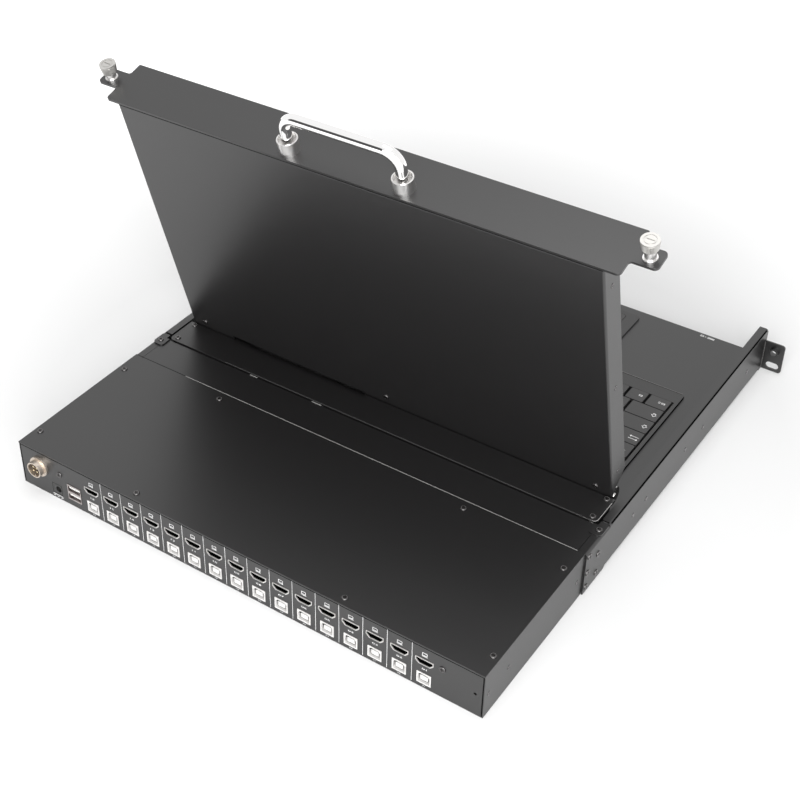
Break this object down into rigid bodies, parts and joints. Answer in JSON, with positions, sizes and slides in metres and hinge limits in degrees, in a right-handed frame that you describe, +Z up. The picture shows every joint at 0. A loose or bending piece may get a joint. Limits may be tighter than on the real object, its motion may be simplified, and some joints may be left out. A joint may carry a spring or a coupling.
{
  "type": "rackmount lcd console drawer",
  "caption": "Shallow rack drawer holding a flip-up LCD lid with pull handle, keyboard and touchpad on telescopic slides, with a multi-port switch box behind.",
  "frame": {"origin": "middle of the bounding box in plan, at the underside of the switch box", "axes": "+X to the right of the person using the keyboard, +Y into the rack towards the rear ports, +Z up"},
  "size_m": [0.4826, 0.507, 0.3329],
  "materials": {
    "case_paint": "satin black powder coat, fine texture",
    "black_screw": "satin black",
    "zinc_steel": "zinc plated",
    "bright_steel": "polished",
    "brass_spacer": "plain",
    "circuit_board": "satin",
    "socket_metal": "satin",
    "nickel": "nickel plated",
    "chrome": "polished",
    "white_plastic": "satin",
    "black_plastic": "satin",
    "dark_insert": "satin",
    "gold_pin": "polished",
    "deck_plastic": "satin",
    "key_plastic": "satin",
    "pad_surface": "satin",
    "screen_glass": "dark, anti-glare",
    "screen_metal": "plain"
  },
  "bodies": {
    "chassis": {"base_tray": "case_paint", "top_cover": "case_paint", "rear_panel": "case_paint", "box_fasteners": "black_screw", "lower_board": "circuit_board", "upper_board": "circuit_board", "board_spacers": "brass_spacer", "hdmi_shells": "socket_metal", "hdmi_tongues": "black_plastic", "usb_b_shells": "white_plastic", "usb_blocks": "white_plastic", "usb_a_shell": "socket_metal", "dc_jack_body": "black_plastic", "power_pins": "gold_pin", "round_socket_shell": "nickel", "round_socket_insert": "dark_insert", "left_bracket": "case_paint", "right_bracket": "case_paint", "coupling_angles": "zinc_steel", "bracket_screws": "black_screw", "bridge_cover": "case_paint", "slide_outers": "zinc_steel", "slide_rivets": "black_screw"},
    "slide_middle": {"slide_middles": "zinc_steel", "slide_balls": "bright_steel"},
    "drawer": {"slide_inners": "zinc_steel", "drawer_screws": "black_screw", "deck_tray": "case_paint", "deck_bottom": "zinc_steel", "keyboard_frame": "deck_plastic", "keyboard_base": "black_plastic", "keyboard_guide": "black_plastic", "touchpad_frame": "deck_plastic", "touchpad_surface": "pad_surface", "hinge_plate": "case_paint", "hinge_arms": "bright_steel", "hinge_pins": "bright_steel"},
    "key_row_1": {"key_row_1": "key_plastic"},
    "key_row_2": {"key_row_2": "key_plastic"},
    "key_row_3": {"key_row_3": "key_plastic"},
    "key_row_4": {"key_row_4": "key_plastic"},
    "key_row_5": {"key_row_5": "key_plastic"},
    "key_row_6": {"key_row_6": "key_plastic"},
    "space_bar": {"space_bar": "key_plastic"},
    "touchpad_button_left": {"touchpad_button_left": "key_plastic"},
    "touchpad_button_right": {"touchpad_button_right": "key_plastic"},
    "lid": {"hinge_leaves": "bright_steel", "lid_back": "case_paint", "front_panel": "case_paint", "lid_bezel": "deck_plastic", "screen_glass": "screen_glass", "screen_frame": "screen_metal", "lid_screws": "black_screw", "handle_rod": "chrome", "handle_ferrules": "chrome", "thumb_sleeves": "chrome"},
    "left_thumb_washer": {"left_thumb_washer": "nickel"},
    "left_thumbscrew": {"left_thumbscrew": "nickel"},
    "right_thumb_washer": {"right_thumb_washer": "nickel"},
    "right_thumbscrew": {"right_thumbscrew": "nickel"}
  },
  "joints": [
    {"name": "drawer_slide", "type": "slide", "parent": "chassis", "child": "drawer", "axis": [0, -1, 0], "range_m": [0, 0.32]},
    {"name": "middle_slide", "type": "slide", "parent": "chassis", "child": "slide_middle", "axis": [0, -1, 0], "range_m": [0, 0.16]},
    {"name": "lid_hinge", "type": "hinge", "parent": "drawer", "child": "lid", "pos_m": [0, 0.019, 0.0327], "axis": [1, 0, 0], "range_deg": [0, 105.8]},
    {"name": "key_row_1_press", "type": "slide", "parent": "drawer", "child": "key_row_1", "axis": [0, 0, -1], "range_m": [0, 0.0018], "stiffness_N_per_m": 700, "springref_m": -0.001},
    {"name": "key_row_2_press", "type": "slide", "parent": "drawer", "child": "key_row_2", "axis": [0, 0, -1], "range_m": [0, 0.0018], "stiffness_N_per_m": 700, "springref_m": -0.001},
    {"name": "key_row_3_press", "type": "slide", "parent": "drawer", "child": "key_row_3", "axis": [0, 0, -1], "range_m": [0, 0.0018], "stiffness_N_per_m": 700, "springref_m": -0.001},
    {"name": "key_row_4_press", "type": "slide", "parent": "drawer", "child": "key_row_4", "axis": [0, 0, -1], "range_m": [0, 0.0018], "stiffness_N_per_m": 700, "springref_m": -0.001},
    {"name": "key_row_5_press", "type": "slide", "parent": "drawer", "child": "key_row_5", "axis": [0, 0, -1], "range_m": [0, 0.0018], "stiffness_N_per_m": 700, "springref_m": -0.001},
    {"name": "key_row_6_press", "type": "slide", "parent": "drawer", "child": "key_row_6", "axis": [0, 0, -1], "range_m": [0, 0.0018], "stiffness_N_per_m": 700, "springref_m": -0.001},
    {"name": "space_bar_press", "type": "slide", "parent": "drawer", "child": "space_bar", "axis": [0, 0, -1], "range_m": [0, 0.0018], "stiffness_N_per_m": 700, "springref_m": -0.001},
    {"name": "touchpad_button_left_press", "type": "slide", "parent": "drawer", "child": "touchpad_button_left", "axis": [0, 0, -1], "range_m": [0, 0.0008], "stiffness_N_per_m": 500, "springref_m": -0.0006},
    {"name": "touchpad_button_right_press", "type": "slide", "parent": "drawer", "child": "touchpad_button_right", "axis": [0, 0, -1], "range_m": [0, 0.0008], "stiffness_N_per_m": 500, "springref_m": -0.0006},
    {"name": "left_thumb_push", "type": "slide", "parent": "lid", "child": "left_thumb_washer", "axis": [0, -0.2723, -0.9622], "range_m": [0, 0.0065]},
    {"name": "left_thumb_turn", "type": "hinge", "parent": "left_thumb_washer", "child": "left_thumbscrew", "pos_m": [-0.23255, 0.08343, 0.30006], "axis": [0, 0.2723, 0.9622], "continuous": true},
    {"name": "right_thumb_push", "type": "slide", "parent": "lid", "child": "right_thumb_washer", "axis": [0, -0.2723, -0.9622], "range_m": [-0.0028, 0.0037]},
    {"name": "right_thumb_turn", "type": "hinge", "parent": "right_thumb_washer", "child": "right_thumbscrew", "pos_m": [0.23255, 0.08343, 0.30006], "axis": [0, 0.2723, 0.9622], "continuous": true}
  ],
  "couplings": [
    {"joint": "middle_slide", "follows": "drawer_slide", "ratio": 0.5}
  ]
}
